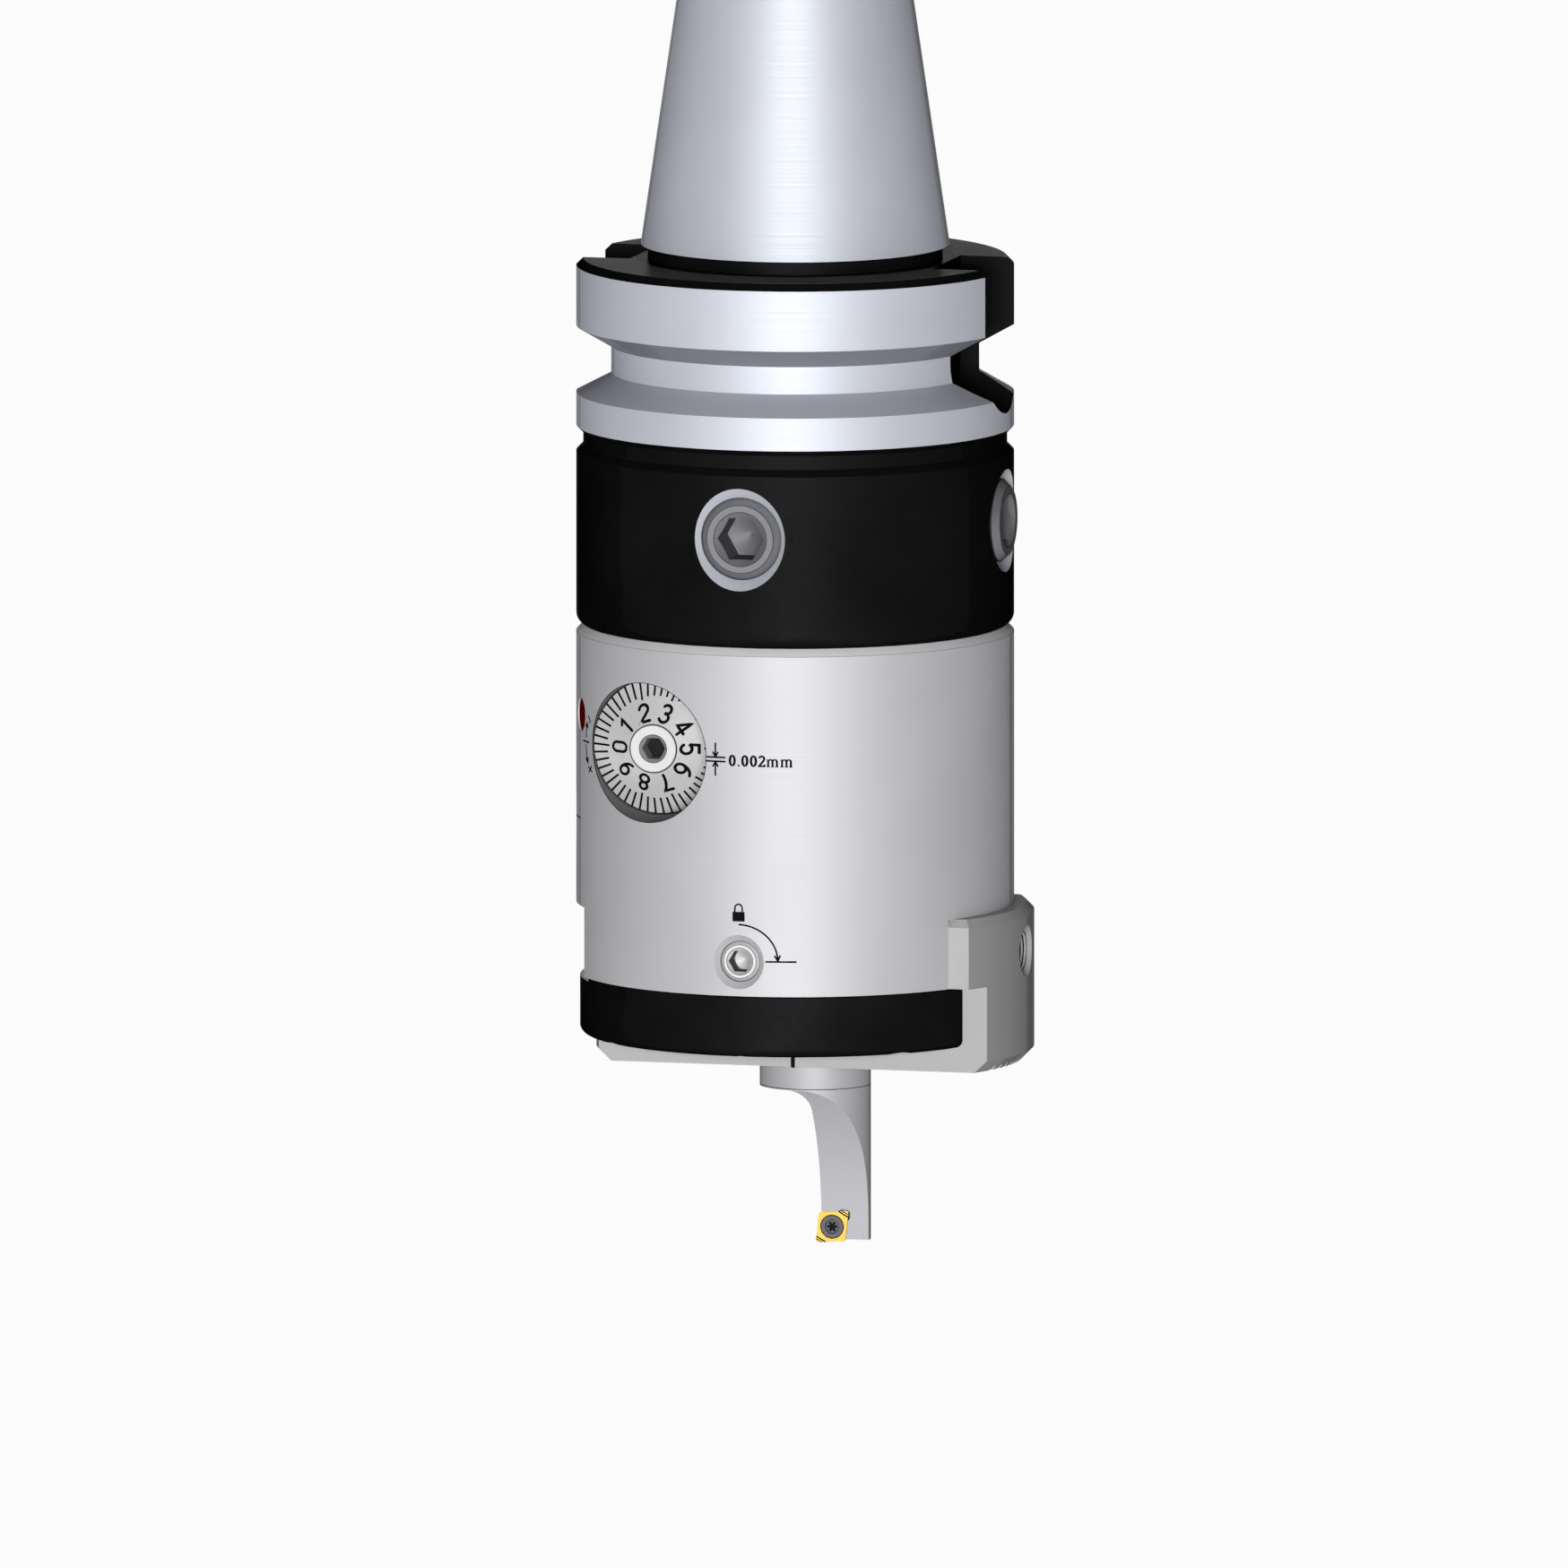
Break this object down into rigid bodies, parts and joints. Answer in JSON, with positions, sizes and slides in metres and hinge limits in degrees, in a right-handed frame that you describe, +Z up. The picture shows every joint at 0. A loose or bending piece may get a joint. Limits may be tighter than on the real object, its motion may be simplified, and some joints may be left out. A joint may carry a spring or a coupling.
{
  "type": "fine boring head",
  "caption": "Fine boring head on a steep-taper shank: a dial moves a T-slide through a worm and lead screw, and the slide holds a bar with an indexable insert.",
  "frame": {"origin": "centre of the taper's gauge plane, on the spindle axis", "axes": "+Z up the spindle axis into the machine, +X along the slide's travel, away from the dial; -Y is the side with the dial's face"},
  "size_m": [0.066, 0.063, 0.2101],
  "materials": {
    "holder_steel": "ground steel, blackened on the flange top, slots and collar",
    "screw_steel": "dark steel",
    "nickel_satin": "satin nickel",
    "seal_rubber": "matt",
    "hard_steel": "ground",
    "dial_satin": "satin, black scale",
    "spindle_steel": "bright",
    "bronze": "turned",
    "spring_steel": "blued",
    "black_oxide": "black oxide",
    "slide_steel": "ground",
    "bar_steel": "ground",
    "coated_carbide": "gold coating",
    "red_plastic": "dark red"
  },
  "bodies": {
    "head": {"holder": "holder_steel", "clamp_screws": "screw_steel", "head_body": "nickel_satin", "spigot_o_ring": "seal_rubber", "drive_pin": "hard_steel", "dial_o_ring": "seal_rubber", "front_bush": "bronze", "rear_bush": "bronze", "spindle_washer": "spring_steel", "lead_screw_bush": "bronze", "end_bush": "bronze", "bearing_plug": "black_oxide", "plug_washer": "spring_steel", "stop_pin": "hard_steel", "lock_pad": "bronze", "cover_ring": "black_oxide", "ring_screws": "black_oxide", "filler_plug": "red_plastic"},
    "dial": {"dial": "dial_satin", "dial_spindle": "spindle_steel", "dial_pin": "hard_steel"},
    "lead_screw": {"lead_screw": "hard_steel", "worm_wheel": "bronze", "wheel_pin": "hard_steel"},
    "slide": {"slide": "slide_steel", "drive_nut": "bronze", "nut_screws": "black_oxide", "bar_clamp_screw": "screw_steel", "boring_bar": "bar_steel", "insert": "coated_carbide", "insert_screw": "screw_steel"},
    "lock_screw": {"lock_screw": "screw_steel"}
  },
  "joints": [
    {"name": "dial_turn", "type": "hinge", "parent": "head", "child": "dial", "pos_m": [-0.015, 0, -0.071], "axis": [0, -1, 0], "range_deg": [-21600.5, 14400.5]},
    {"name": "lead_screw_turn", "type": "hinge", "parent": "head", "child": "lead_screw", "pos_m": [0, 0, -0.083], "axis": [1, 0, 0], "range_deg": [-720.05, 1080.05]},
    {"name": "slide_travel", "type": "slide", "parent": "head", "child": "slide", "axis": [1, 0, 0], "range_m": [-0.003, 0.002]},
    {"name": "lock_screw_turn", "type": "hinge", "parent": "head", "child": "lock_screw", "pos_m": [0, -0.031, -0.1004], "axis": [0, 1, 0], "range_deg": [0, 90]}
  ],
  "couplings": [
    {"joint": "dial_turn", "follows": "slide_travel", "rad_per_m": 125660},
    {"joint": "lead_screw_turn", "follows": "slide_travel", "rad_per_m": -6283.2}
  ]
}
